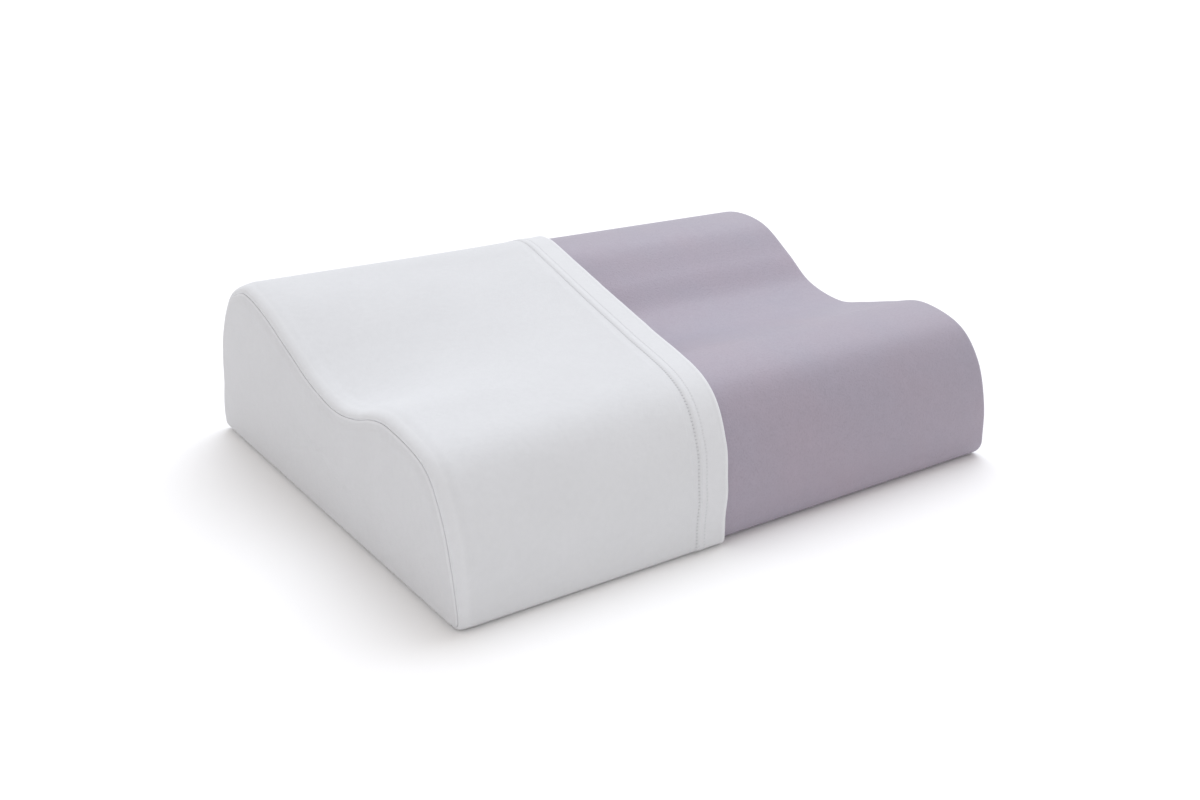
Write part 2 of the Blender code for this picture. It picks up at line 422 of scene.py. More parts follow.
def soft_noise(count: int, waves: int, seed: int) -> np.ndarray:
    """A smooth random line that closes on itself, between about -1 and 1.

    Args:
        count: number of samples.
        waves: the most waves in its length.
        seed: the random seed.

    Returns:
        The samples.
    """
    draw = np.random.default_rng(seed)
    at = np.arange(count) / count * 2 * math.pi
    order = np.arange(1, waves + 1)
    sizes = draw.normal(size=waves)
    starts = draw.uniform(0, 2 * math.pi, waves)
    line = (sizes[:, None] * np.sin(order[:, None] * at + starts[:, None])).sum(axis=0)
    return line / np.abs(line).max()


def grid_quads(rows: int, count: int, strips: int) -> np.ndarray:
    """Faces of a grid of points whose columns close on themselves.

    Args:
        rows: the grid's rows.
        count: the grid's columns.
        strips: how many rows have a strip of faces after them.

    Returns:
        Four point numbers for each face. A strip after the last row joins the first.
    """
    first, column = np.meshgrid(np.arange(strips), np.arange(count), indexing="ij")
    second, across = (first + 1) % rows, (column + 1) % count
    return np.stack([first * count + column, second * count + column,
                     second * count + across, first * count + across], axis=-1).reshape(-1, 4)


def linked(name: str, data: bpy.types.ID) -> bpy.types.Object:
    """Puts a mesh, lamp or camera into the scene.

    Args:
        name: the object's name.
        data: what it shows.

    Returns:
        The object.
    """
    thing = bpy.data.objects.new(name, data)
    bpy.context.scene.collection.objects.link(thing)
    return thing


class Skin:
    """A stack of loops with the same columns, skinned into a closed mesh."""

    def __init__(self, name: str, columns: np.ndarray) -> None:
        """Starts an empty stack.

        Args:
            name: the piece's name.
            columns: shares of a loop's length that every loop is sampled at.
        """
        self.name = name
        self.columns = columns
        self.loops: list[np.ndarray] = []
        self.places: list[np.ndarray] = []
        self.painted_shadings: list[np.ndarray] = []

    def add(self, loop: np.ndarray, along: float | None = None,
            painted_shading: float | np.ndarray = 1.0) -> None:
        """Adds a loop.

        Args:
            loop: its points.
            along: its place along the cloth, or None where the cloth is flat across the
                pillow and its place is (y, z).
            painted_shading: painted light or shade on the cloth here, as a share of its own colour;
                1 leaves the colour as it is.
        """
        self.loops.append(loop)
        self.painted_shadings.append(np.broadcast_to(painted_shading, len(loop)))
        if along is None:
            closed = np.vstack([loop, loop[:1]])
            self.places.append(closed[:, 1:3])
        else:
            around = np.append(self.columns, 1.0) * loop_length(loop)
            self.places.append(np.column_stack([np.full(len(around), along), around]))

    def build(self, ends: Ends, material: bpy.types.Material) -> bpy.types.Object:
        """Makes the mesh.

        Args:
            ends: how the stack is closed.
            material: its material.

        Returns:
            The object, linked to the scene.
        """
        count, rows = len(self.columns), len(self.loops)
        points, painted_shadings = np.vstack(self.loops), np.concatenate(self.painted_shadings)
        strips = rows if ends is Ends.HOLLOW else rows - 1
        faces = grid_quads(rows, count, strips).tolist()
        places = np.array(self.places)
        here, after = places[:strips], np.roll(places, -1, axis=0)[:strips]
        corners = [here[:, :-1], after[:, :-1], after[:, 1:], here[:, 1:]]
        uvs = np.stack(corners, axis=2).reshape(-1, 2).tolist()
        for row, turn in ((0, 1), (rows - 1, -1)) if ends is Ends.POLES else ():
            pole = len(points)
            points = np.vstack([points, self.loops[row].mean(axis=0)])
            painted_shadings = np.append(painted_shadings, self.painted_shadings[row].mean())
            middle = places[row, :-1].mean(axis=0).tolist()
            for k in range(count):
                pair = (k, k + 1)[::turn]
                faces.append([pole] + [row * count + p % count for p in pair])
                uvs += [middle] + [places[row, p].tolist() for p in pair]
        mesh = bpy.data.meshes.new(self.name)
        mesh.from_pydata(points.tolist(), [], faces)
        layer = mesh.uv_layers.new(name=CLOTH_UV)
        layer.data.foreach_set("uv", np.array(uvs, dtype=np.float32).ravel())
        work = bmesh.new()
        work.from_mesh(mesh)
        bmesh.ops.recalc_face_normals(work, faces=work.faces)
        work.to_mesh(mesh)
        work.free()
        mesh.shade_smooth()
        mesh.set_sharp_from_angle(angle=math.radians(60))
        # Painted light and shade, kept on each point for the materials.
        light = mesh.attributes.new(PAINTED_SHADING, "FLOAT", "POINT")
        light.data.foreach_set("value", painted_shadings.astype(np.float32))
        mesh.materials.append(material)
        return linked(self.name, mesh)


def settle(piece: bpy.types.Object, node: str, body: Body) -> bpy.types.Object:
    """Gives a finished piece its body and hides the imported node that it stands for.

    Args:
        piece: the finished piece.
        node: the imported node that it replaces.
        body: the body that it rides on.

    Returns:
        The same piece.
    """
    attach(piece, body.value)
    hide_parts(node)
    LOG.info("%s: %d faces, rides %s", piece.name, len(piece.data.polygons), body.value)
    return piece


# ---- shader groups -------------------------------------------------------------------------
class NodeBench:
    """Adds and joins the nodes of one tree."""

    def __init__(self, tree: bpy.types.NodeTree) -> None:
        """Works on an existing tree."""
        self.tree = tree

    def add(self, kind: str, feeds: dict | None = None, **settings: object) -> bpy.types.Node:
        """Adds a node.

        Args:
            kind: the node's type.
            feeds: values or sockets for its inputs, by name or number.
            settings: its other properties.

        Returns:
            The node.
        """
        node = self.tree.nodes.new(kind)
        for name, value in settings.items():
            setattr(node, name, value)
        self.feed(node, feeds or {})
        return node

    def feed(self, node: bpy.types.Node, feeds: dict) -> None:
        """Joins sockets to a node's inputs, or sets their values.

        Args:
            node: the node.
            feeds: values or sockets, by the input's name or number.
        """
        for key, value in feeds.items():
            if isinstance(value, bpy.types.NodeSocket):
                self.tree.links.new(value, node.inputs[key])
            else:
                node.inputs[key].default_value = value

    def maker(self, group: bpy.types.NodeTree, place: bpy.types.NodeSocket,
              **sizes: float) -> bpy.types.NodeOutputs:
        """Outputs of a shared group that reads the given coordinates and sizes."""
        return self.add("ShaderNodeGroup", {"Place": place, **sizes}, node_tree=group).outputs

    def read(self, name: str) -> bpy.types.NodeSocket:
        """A number that the mesh holds at each point."""
        return self.add("ShaderNodeAttribute", attribute_name=name).outputs["Fac"]

    def scaled(self, colour: bpy.types.NodeSocket, *shares: object) -> bpy.types.NodeSocket:
        """A colour made lighter or darker by the product of some shares.

        Args:
            colour: the colour.
            shares: numbers or sockets, 1 for no change.

        Returns:
            The colour's socket.
        """
        share = shares[0]
        for other in shares[1:]:
            share = self.maths("MULTIPLY", share, other)
        feeds = {0: colour, "Scale": share}
        return self.add("ShaderNodeVectorMath", feeds, operation="SCALE").outputs[0]

    def maths(self, operation: str, *values: object) -> bpy.types.NodeSocket:
        """The result of a Math node on the given numbers or sockets."""
        return self.add("ShaderNodeMath", dict(enumerate(values)), operation=operation).outputs[0]

    def mapped(self, value: object, low: float, high: float) -> bpy.types.NodeSocket:
        """A 0 to 1 value spread over low to high."""
        feeds = {"Value": value, "To Min": low, "To Max": high}
        return self.add("ShaderNodeMapRange", feeds).outputs[0]

    def blended(self, share: object, first: object, second: object) -> bpy.types.NodeSocket:
        """A mix of two colours."""
        colours = {0: share, 6: first, 7: second}
        return self.add("ShaderNodeMix", colours, data_type="RGBA").outputs[2]

    def bumped(self, height: object, strength: float, depth: float,
               normal: bpy.types.NodeSocket | None = None) -> bpy.types.NodeSocket:
        """A normal pushed by a height.

        Args:
            height: the height's socket.
            strength: the Bump node's strength.
            depth: how far a height of 1 stands out.
            normal: a normal to start from.

        Returns:
            The normal's socket.
        """
        feeds = {"Height": height, "Strength": strength, "Distance": depth}
        if normal is not None:
            feeds["Normal"] = normal
        return self.add("ShaderNodeBump", feeds).outputs[0]


def shader_group(name: str, takes: dict[str, str], gives: dict[str, str]) -> tuple:
    """Starts a shader group.

    Args:
        name: the group's name.
        takes: its input sockets, name to socket type.
        gives: its output sockets, name to socket type.

    Returns:
        The group, a bench to build it on, what it is given and its output node.
    """
    group = bpy.data.node_groups.new(name, "ShaderNodeTree")
    for way, sockets in (("INPUT", takes), ("OUTPUT", gives)):
        for label, kind in sockets.items():
            group.interface.new_socket(name=label, in_out=way, socket_type=kind)
    bench = NodeBench(group)
    return group, bench, bench.add("NodeGroupInput").outputs, bench.add("NodeGroupOutput")


NUMBER, VECTOR = "NodeSocketFloat", "NodeSocketVector"


def soft_patches_group() -> bpy.types.NodeTree:
    """Soft cloudy patches, for uneven dye, soiling and shine.

    Returns:
        The shader group.
    """
    group, bench, given, made = shader_group(
        "soft patches", {"Place": VECTOR, "Size": NUMBER, "Spread": NUMBER}, {"Value": NUMBER}
    )
    scale = bench.maths("DIVIDE", 1.0, given["Size"])
    cloud = bench.add("ShaderNodeTexNoise", {"Vector": given["Place"], "Scale": scale,
                                             "Detail": 3.0, "Roughness": 0.55})
    centred = bench.maths("SUBTRACT", cloud.outputs["Fac"], 0.5)
    value = bench.maths("MULTIPLY_ADD", centred, given["Spread"], 0.5)
    bench.feed(made, {"Value": bench.add("ShaderNodeClamp", {"Value": value}).outputs[0]})
    return group


def jersey_group() -> bpy.types.NodeTree:
    """The columns of V-shaped loops of a plain jersey.

    Returns:
        The shader group.
    """
    group, bench, given, made = shader_group(
        "jersey loops",
        {"Place": VECTOR, "Wale": NUMBER, "Course": NUMBER},
        {"Height": NUMBER, "Valley": NUMBER},
    )
    parts = bench.add("ShaderNodeSeparateXYZ", {"Vector": given["Place"]})
    across = bench.maths("DIVIDE", parts.outputs["Y"], given["Wale"])
    along = bench.maths("DIVIDE", parts.outputs["X"], given["Course"])
    in_wale = bench.maths("FRACT", across)
    side = bench.maths("ABSOLUTE", bench.maths("MULTIPLY_ADD", in_wale, 2.0, -1.0))
    leg = bench.maths("SINE", bench.maths("MULTIPLY", side, math.pi))
    slanted = bench.maths("MULTIPLY_ADD", side, 0.55, along)
    wave = bench.maths("SINE", bench.maths("MULTIPLY", slanted, 2 * math.pi))
    loop = bench.maths("MULTIPLY_ADD", wave, 0.25, 0.75)
    height = bench.maths("MULTIPLY", leg, loop)
    bench.feed(made, {"Height": height, "Valley": bench.maths("SUBTRACT", 1.0, height)})
    return group


def foam_grain_group() -> bpy.types.NodeTree:
    """The fine grain of a moulded foam's skin.

    Returns:
        The shader group.
    """
    group, bench, given, made = shader_group(
        "foam grain", {"Place": VECTOR, "Grain": NUMBER}, {"Height": NUMBER}
    )
    place, scale = given["Place"], bench.maths("DIVIDE", 1.0, given["Grain"])
    grit = bench.add("ShaderNodeTexNoise", {"Vector": place, "Scale": scale,
                                            "Detail": 2.0, "Roughness": 0.6})
    cell_scale = bench.maths("MULTIPLY", scale, 0.8)
    cells = bench.add("ShaderNodeTexVoronoi", {"Vector": place, "Scale": cell_scale},
                      feature="SMOOTH_F1")
    pores = bench.add("ShaderNodeMapRange", {"Value": cells.outputs["Distance"],
                                             "From Max": 0.5}).outputs[0]
    bench.feed(made, {"Height": bench.maths("MULTIPLY_ADD", pores, 0.45, grit.outputs["Fac"])})
    return group


class Groups:
    """The shader groups, each built once."""

    def __init__(self) -> None:
        """Builds them."""
        self.patches = soft_patches_group()
        self.jersey = jersey_group()
        self.grain = foam_grain_group()


# ---- finishes ------------------------------------------------------------------------------
def started(name: str) -> tuple[bpy.types.Material, NodeBench, bpy.types.Node]:
    """Starts a material.

    Args:
        name: its name.

    Returns:
        The material, a bench on its nodes and its Principled BSDF.
    """
    material = bpy.data.materials.new(name)
    material.use_nodes = True
    bench = NodeBench(material.node_tree)
    return material, bench, material.node_tree.nodes["Principled BSDF"]


@dataclass(frozen=True)
class FoamFinish:
    """Skinned lavender memory foam."""

    name: str = "lavender_memory_foam"
    cool: tuple = (0.318, 0.290, 0.352)
    warm: tuple = (0.336, 0.290, 0.348)
    sheen_tint: tuple = (0.86, 0.92, 1.0, 1.0)
    patch_size: float = 0.075
    mottle_size: float = 0.009
    grain: float = 0.0013
    roughness: tuple = (0.50, 0.64)

    def material(self, groups: Groups) -> bpy.types.Material:
        """Makes the material.

        Args:
            groups: the shared shader groups.

        Returns:
            The material.
        """
        material, bench, shader = started(self.name)
        place = bench.add("ShaderNodeTexCoord").outputs["Object"]
        broad = bench.maker(groups.patches, place, Size=self.patch_size, Spread=2.2)
        fine = bench.maker(groups.patches, place, Size=self.mottle_size, Spread=1.6)
        grain = bench.maker(groups.grain, place, Grain=self.grain)
        surface_colour = bench.blended(broad["Value"], (*self.cool, 1.0), (*self.warm, 1.0))
        mottle = bench.mapped(fine["Value"], 0.965, 1.035)
        speck = bench.mapped(grain["Height"], 0.90, 1.08)
        # The colour is scaled by the painted light and shade kept on the mesh.
        bench.feed(shader, {
            "Base Color": bench.scaled(surface_colour, mottle, speck, bench.read(PAINTED_SHADING)),
            "Roughness": bench.mapped(fine["Value"], *self.roughness),
            "Normal": bench.bumped(grain["Height"], 0.35, 0.0005),
            "Specular IOR Level": 0.45, "Sheen Weight": 0.30, "Sheen Roughness": 0.45,
            "Sheen Tint": self.sheen_tint,
        })
        return material


@dataclass(frozen=True)
class JerseyFinish:
    """White cotton jersey."""

    name: str
    colour: tuple = (0.705, 0.715, 0.730)
    # Painted shade for the valleys between the loops.
    shadow: tuple = (0.640, 0.650, 0.672)
    wale: float = 0.00085
    course: float = 0.00070
    patch_size: float = 0.035
    fuzz_size: float = 0.0045
    bump: float = 0.30
    sheen: float = 0.10

    def material(self, groups: Groups) -> bpy.types.Material:
        """Makes the material.

        Args:
            groups: the shared shader groups.

        Returns:
            The material.
        """
        material, bench, shader = started(self.name)
        cloth = bench.add("ShaderNodeUVMap", uv_map=CLOTH_UV).outputs["UV"]
        place = bench.add("ShaderNodeTexCoord").outputs["Object"]
        loops = bench.maker(groups.jersey, cloth, Wale=self.wale, Course=self.course)
        broad, fine = (bench.maker(groups.patches, place, Size=size, Spread=1.5)["Value"]
                       for size in (self.patch_size, self.fuzz_size))
        # The valleys between the loops are painted darker with the shadow colour: painted shade in
        # the knit's hollows.
        surface_colour = bench.blended(loops["Valley"], (*self.colour, 1.0), (*self.shadow, 1.0))
        mottle, fuzz = bench.mapped(broad, 0.985, 1.015), bench.mapped(fine, 0.98, 1.02)
        coarse = bench.bumped(fine, 0.25, 0.0004)
        # The colour is scaled by the painted light and shade kept on the mesh.
        bench.feed(shader, {
            "Base Color": bench.scaled(surface_colour, mottle, fuzz, bench.read(PAINTED_SHADING)),
            "Roughness": bench.mapped(loops["Valley"], 0.78, 0.92),
            "Normal": bench.bumped(loops["Height"], self.bump, 0.00015, coarse),
            "Sheen Weight": self.sheen, "Specular IOR Level": 0.25,
        })
        return material


@dataclass(frozen=True)
class ThreadFinish:
    """White spun polyester sewing thread."""

    name: str = "white_polyester_thread"
    colour: tuple = (0.74, 0.75, 0.77)
    ply_groove_shade: tuple = (0.66, 0.67, 0.69)
    fuzz_size: float = 0.0006

    def material(self, groups: Groups) -> bpy.types.Material:
        """Makes the material.

        Args:
            groups: the shared shader groups.

        Returns:
            The material.
        """
        material, bench, shader = started(self.name)
        turn = bench.maths("MULTIPLY", bench.read(TWIST), 2 * math.pi)
        ply = bench.maths("MULTIPLY_ADD", bench.maths("SINE", turn), 0.5, 0.5)
        place = bench.add("ShaderNodeTexCoord").outputs["Object"]
        fuzz = bench.maker(groups.patches, place, Size=self.fuzz_size, Spread=1.2)
        bench.feed(shader, {
            # Painted shade in the grooves between the plies.
            "Base Color": bench.blended(ply, (*self.ply_groove_shade, 1.0), (*self.colour, 1.0)),
            "Roughness": bench.mapped(fuzz["Value"], 0.50, 0.68),
            "Normal": bench.bumped(ply, 0.4, 0.00008),
        })
        return material


# ---- the sleeve under tension --------------------------------------------------------------
@dataclass
class SleeveFullness:
    """How the stretched sleeve stands off its pattern between its seams.

    A coarse sheet, the wrap panel joined to the end panel, is simulated as cloth with a
    little air behind it. It is held at the end seam, at the hem and along the floor. The
    finished panels take their movement across the cloth from it.
    """

    column_count: int = 230
    wrap_rows: int = 45
    panel_rows: int = 12
    cloth: tuple = (
        ("quality", 6), ("mass", 0.3), ("tension_stiffness", 80.0),
        ("compression_stiffness", 80.0), ("shear_stiffness", 30.0),
        ("bending_stiffness", 5.0), ("use_pressure", True), ("uniform_pressure_force", 0.35),
    )
    last_frame: int = 20
    smoothing_passes: int = 10
    most_out: float = 0.0022
    most_in: float = 0.0003
    held_below: float = 0.006
    least_share: float = 0.08
    rim_station: float = -0.12

    def __post_init__(self) -> None:
        self.columns = even_columns(self.column_count)
        grid = self.coarse_grid()
        self.movement = self.simulate(grid)

    def coarse_grid(self) -> np.ndarray:
        """Lays out the coarse sheet and notes each row's station.

        Returns:
            Rows from near the middle of the end panel, over the seam, to the hem.
        """
        end_radius = FORM.covered_end_radius + FORM.wrap_out
        rim = FORM.cover_end_loop(math.pi / 2, end_radius, self.columns)
        rows = drawn_in(rim, np.linspace(self.least_share, 1.0, self.panel_rows))
        self.stations = list(np.linspace(-1.0, self.rim_station, self.panel_rows))
        for share in np.linspace(0.0, 1.0, self.wrap_rows):
            rows.append(FORM.sleeve_loop(share * FORM.wrap_run, FORM.wrap_out, self.columns))
            self.stations.append(share)
        return np.array(rows)

    def simulate(self, grid: np.ndarray) -> np.ndarray:
        """Movement outwards at each point of the coarse grid.

        Args:
            grid: the coarse sheet's points.

        Returns:
            Rows by columns.
        """
        rows, count = grid.shape[:2]
        quads = grid_quads(rows, count, rows - 1)
        mesh = bpy.data.meshes.new("sleeve_trial")
        mesh.from_pydata(grid.reshape(-1, 3).tolist(), [], quads.tolist())
        trial = linked("sleeve_trial", mesh)
        held = trial.vertex_groups.new(name="held")
        pinned = grid[:, :, 2] < self.held_below
        pinned[self.panel_rows] = pinned[-1] = True
        held.add(np.flatnonzero(pinned.ravel()).tolist(), 1.0, "REPLACE")
        cloth = trial.modifiers.new("cloth", "CLOTH")
        for name, value in self.cloth:
            setattr(cloth.settings, name, value)
        cloth.settings.vertex_group_mass = held.name
        cloth.settings.effector_weights.gravity = 0.0
        cloth.collision_settings.use_collision = False
        cloth.point_cache.frame_start = 1
        cloth.point_cache.frame_end = self.last_frame
        scene = bpy.context.scene
        for frame in range(1, self.last_frame + 1):
            scene.frame_set(frame)
        settled = trial.evaluated_get(bpy.context.evaluated_depsgraph_get())
        moved = np.empty(len(settled.data.vertices) * 3, dtype=np.float32)
        settled.data.vertices.foreach_get("co", moved)
        moved = moved.reshape(grid.shape).astype(float) - grid
        scene.frame_set(1)
        bpy.data.objects.remove(trial)
        bpy.data.meshes.remove(mesh)
        outwards = (moved * outward_normals(grid)).sum(axis=2)
        LOG.info("sleeve fullness before the cap: %.4f to %.4f", outwards.min(), outwards.max())
        for _ in range(self.smoothing_passes):
            outwards[pinned] = 0.0
            sides = np.roll(outwards, 1, axis=1) + np.roll(outwards, -1, axis=1)
            tall = np.pad(outwards, ((1, 1), (0, 0)), mode="edge")
            outwards = outwards / 2 + (sides + tall[:-2] + tall[2:]) / 8
        outwards[pinned] = 0.0
        out = self.most_out * np.tanh(np.maximum(outwards, 0.0) / self.most_out)
        return out + self.most_in * np.tanh(np.minimum(outwards, 0.0) / self.most_in)

    def at(self, station: float, columns: np.ndarray) -> np.ndarray:
        """Movement round one loop.

        Args:
            station: -1 in the middle of the end panel, 0 at the seam, 1 at the hem.
            columns: shares of the loop's length.

        Returns:
            The movement outwards at each column.
        """
        last = len(self.stations) - 1
        place = np.interp(station, self.stations, np.arange(last + 1))
        low = int(min(place, last - 1))
        rows = self.movement[[max(low - 1, 0), low, low + 1, min(low + 2, last)]]
        line = cubic(rows, place - low)
        at = columns * self.column_count
        base = np.floor(at).astype(int)
        near = np.array([line[(base + k) % self.column_count] for k in (-1, 0, 1, 2)])
        return cubic(near, at - base)


# ---- pieces --------------------------------------------------------------------------------
@dataclass
class FoamCore:
    """The moulded core, with a small rounding at its bare end."""

    column_count: int = 400
    covered_rows: int = 52
    bare_rows: int = 100
    face_rows: int = 14
    round_rows: int = 10
    least_share: float = 0.06
    # Bands of painted light and shade across the top: (middle y, width, share).
    painted_shading_bands: tuple = ((0.022, 0.026, 0.13), (0.088, 0.020, -0.05), (-0.130, 0.020, -0.025))
    painted_shading_above: float = 0.06

    def build(self, finish: bpy.types.Material) -> bpy.types.Object:
        """Makes the core.

        Args:
            finish: its material.

        Returns:
            The finished piece.
        """
        columns = even_columns(self.column_count)
        skin = Skin("foam_core_skin", columns)
        for loop in self.covered_loops(columns) + self.bare_loops(columns):
            skin.add(loop, painted_shading=self.painted_foam_shading(loop))
        piece = skin.build(Ends.POLES, finish)
        settle(piece, "foam_core", Body.CORE)
        return piece

    def painted_foam_shading(self, loop: np.ndarray) -> np.ndarray:
        """Painted light and shade on the skin: lighter on the slope behind the dip, which turns
        from the lamp, and darker on the two crests, which the lamp lights most.

        Args:
            loop: a loop of the core.

        Returns:
            The painted light or shade at each point, 1 for none.
        """
        bands = [share * bell(loop[:, 1] - middle, width)
                 for middle, width, share in self.painted_shading_bands]
        return np.where(loop[:, 2] > self.painted_shading_above, 1 + sum(bands), 1.0)

    def covered_loops(self, columns: np.ndarray) -> list[np.ndarray]:
        """Lays out the covered half.

        Args:
            columns: shares of a loop's length.

        Returns:
            Loops from the middle of the covered end face to the hem's free edge.
        """
        turned = [
            FORM.end_loop(angle, FORM.covered_end_radius, FORM.hem_out, FORM.foam_corner, columns)
            for angle in np.linspace(math.pi / 2, 0.0, self.round_rows)
        ]
        shares = np.linspace(self.least_share, 1.0, self.face_rows, endpoint=False)
        loops = drawn_in(turned[0], shares) + turned
        reach = FORM.hem_at_centre + FORM.gap - FORM.end_centre_x
        for share in np.linspace(0.0, 1.0, self.covered_rows)[1:]:
            outline = FORM.closed(FORM.top_line(share, FORM.foam_corner), FORM.hem_out,
                                  FORM.foam_corner)
            loop = FORM.loop(FORM.evened(outline, columns),
                             FORM.end_centre_x + share * reach, share * FORM.hem_skew)
            loop[:, 0] -= share**3 * FORM.hem_draw(columns)
            loops.append(loop)
        return loops

    def bare_loops(self, columns: np.ndarray) -> list[np.ndarray]:
        """Lays out the bare half.

        Args:
            columns: shares of a loop's length.

        Returns:
            Loops from the hem's free edge to the middle of the bare end face.
        """
        outline = FORM.closed(FORM.top_line(1.0, FORM.foam_corner), 0.0, FORM.foam_corner)
        even = FORM.evened(outline, columns)
        start = FORM.hem_at_centre + FORM.gap + FORM.relief_ramp
        stop = FORM.length / 2 - FORM.bare_end_radius
        loops = []
        for share in np.linspace(0.0, 1.0, self.bare_rows):
            x = start + share * (stop - start)
            loop = FORM.loop(even, x, FORM.hem_skew * (1 - share) ** 1.5)
            loop[:, 0] -= (1 - share) ** 3 * FORM.hem_draw(columns)
            loops.append(loop)
        for angle in np.linspace(0.0, math.pi / 2, self.round_rows - 1)[1:]:
            inset = FORM.bare_end_radius * (1 - math.cos(angle))
            x = stop + FORM.bare_end_radius * math.sin(angle)
            loops.append(FORM.loop(FORM.evened(FORM.grown(outline, -inset), columns), x))
        return loops + drawn_in(loops[-1], np.linspace(1.0, self.least_share, self.face_rows)[1:])


@dataclass
class WrapPanel:
    """The panel that goes round the pillow, from the end seam to the hem."""

    column_count: int = 400
    inner_rows: int = 44
    lip: tuple = ((0.0009, 0.0006), (0.0005, 0.0012), (0.0001, 0.0019), (0.00004, 0.0023),
                  (0.00016, 0.00254))
    puff_runs: tuple = (0.0004, 0.0008, 0.0014, 0.0021, 0.0028, 0.0036, 0.0046, 0.0058, 0.0070)
    allowance_edge: tuple = ((-0.0006, 0.00014), (0.0, 0.00008), (0.0006, 0.00002))
    puff: float = 0.0010
    puff_peak: float = 0.0032
    puff_width: float = 0.0052
    # Painted light over the seam allowance's strip and a painted highlight on the lip's top edge.
    puff_painted_light: float = 0.05
    painted_light_fade: float = 0.0024
    lip_painted_light: float = 0.06
    lip_rise: float = 0.0021
    lip_run: float = 0.0006
    allowance: float = 0.0098
    allowance_rise: float = 0.00016
    tuck: float = 0.0010
    row_pitch: float = 0.0024
    closing_share: float = 0.235
    closing_depth: float = 0.0007
    closing_width: float = 0.0006
    cheek: float = 0.0003
    cheek_place: float = 0.0016
    cheek_width: float = 0.0008
    join_start: float = 0.004
    closing_columns: tuple = (-3, -2, -1.3, -0.7, -0.3, 0, 0.3, 0.7, 1.3, 2, 3)
    closing_step: float = 0.001

    def columns(self) -> np.ndarray:
        """Spaces the columns, closer at the panel's own join on the back face.

        Returns:
            Shares of a loop's length.
        """
        near = self.closing_share + np.array(self.closing_columns) * self.closing_step
        even = even_columns(self.column_count)
        apart = (even < near[0] - self.closing_step) | (even > near[-1] + self.closing_step)
        return np.sort(np.concatenate([even[apart], near]))

    def puffed(self, run: float) -> float:
        """How far the seam allowances inside lift the cloth.

        Args:
            run: distance from the end seam.

        Returns:
            The lift.
        """
        if run < self.puff_peak:
            return self.puff * math.sin(math.pi / 2 * run / self.puff_peak)
        return self.puff * bell(run - self.puff_peak, self.puff_width)

    def outer_section(self) -> list[tuple[float, float]]:
        """Section of the outer face, from inside the seam's groove to the hem.

        Returns:
            (run, rise) of each loop.
        """
        out, step = FORM.wrap_out, self.allowance
        section = list(self.lip)
        section += [(run, out + self.puffed(run) + self.allowance_rise)
                    for run in (*self.puff_runs, step - 0.0014)]
        section += [(step + past, out + self.puffed(step) + rise)
                    for past, rise in self.allowance_edge]
        section += [(run, out + self.puffed(run)) for run in (step + 0.0016, step + 0.0034)]
        start = step + 0.0056
        steps = round((FORM.wrap_run - start) / self.row_pitch)
        section += [(run, out) for run in np.linspace(start, FORM.wrap_run, steps)]
        return section + [(FORM.wrap_run + self.tuck, out - 0.0003)]

    def build(self, fullness: SleeveFullness, finish: bpy.types.Material) -> bpy.types.Object:
        """Makes the panel.

        Args:
            fullness: how the sleeve stands off between its seams.
            finish: its material.

        Returns:
            The finished piece.
        """
        columns = self.columns()
        outer = self.outer_section()
        grid = np.array([FORM.sleeve_loop(run, rise, columns) for run, rise in outer])
        normals = outward_normals(grid)
        from_join = np.abs(columns - self.closing_share)
        join = self.cheek * bell(from_join - self.cheek_place, self.cheek_width)
        join -= self.closing_depth * bell(from_join, self.closing_width)
        skin = Skin("wrap_panel_knit", columns)
        for loop, normal, (run, rise) in zip(grid, normals, outer):
            move = join * limited(run / self.join_start - 1)
            if rise >= FORM.wrap_out:
                move = move + fullness.at(run / FORM.wrap_run, columns)
            loop = loop + normal * move[:, None]
            loop[:, 2] = np.maximum(loop[:, 2], 0.0)
            # Painted light: the strip over the seam allowance is painted lighter, fading out past
            # the allowance's edge, and the lip's top edge at the seam gets a painted highlight.
            lit = self.puff_painted_light + self.lip_painted_light * (rise > self.lip_rise) * (run < self.lip_run)
            lit *= limited((self.allowance - run) / self.painted_light_fade + 0.5)
            skin.add(loop, run, 1 + lit)
        for run in np.linspace(FORM.wrap_run + self.tuck, 0.0012, self.inner_rows):
            skin.add(FORM.sleeve_loop(run, FORM.gap, columns), run)
        piece = skin.build(Ends.HOLLOW, finish)
        return settle(piece, "cover_wrap_panel", Body.COVER)


